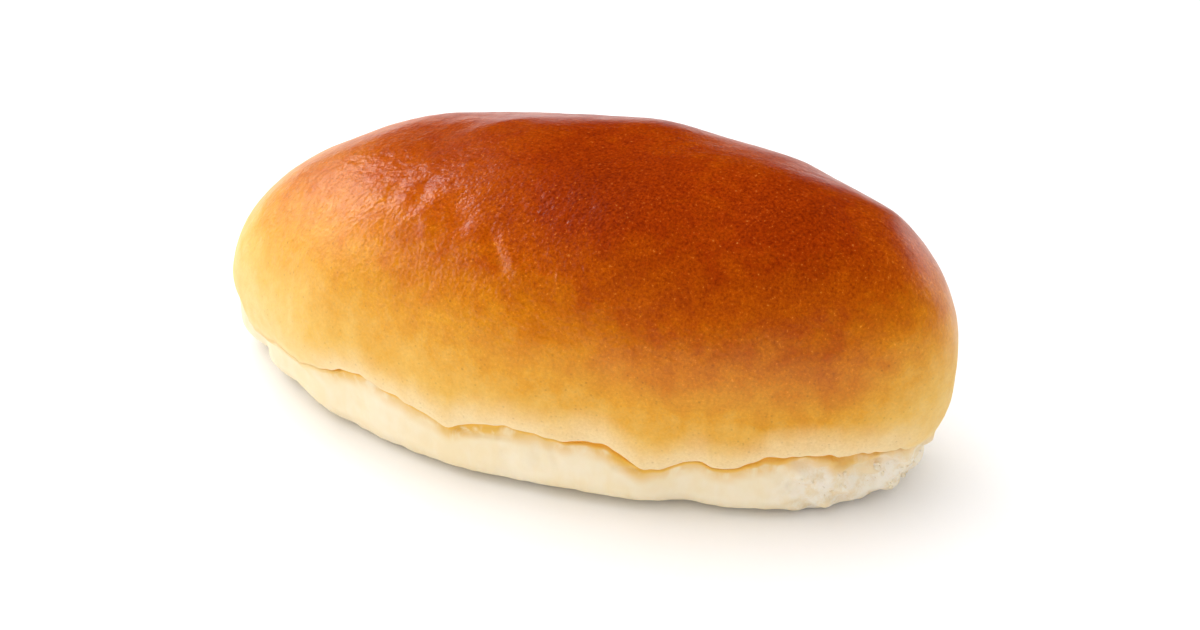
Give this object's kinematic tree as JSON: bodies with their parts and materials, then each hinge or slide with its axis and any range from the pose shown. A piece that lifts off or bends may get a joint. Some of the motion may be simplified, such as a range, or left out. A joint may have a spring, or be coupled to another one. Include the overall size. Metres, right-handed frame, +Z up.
{
  "type": "bread roll",
  "caption": "Soft oval bread roll with a glossy brown domed top over a pale base band, one solid with a flat underside.",
  "frame": {"origin": "middle of the length and width, on the flat underside", "axes": "+Z up through the dome, +X along the roll's length, the side with the open fold towards -Y"},
  "size_m": [0.126, 0.0634, 0.05],
  "materials": {
    "crust": "soft baked crust, satin golden brown on top, cream and matt at the base"
  },
  "bodies": {
    "root": {"bread_roll": "crust"}
  },
  "joints": []
}
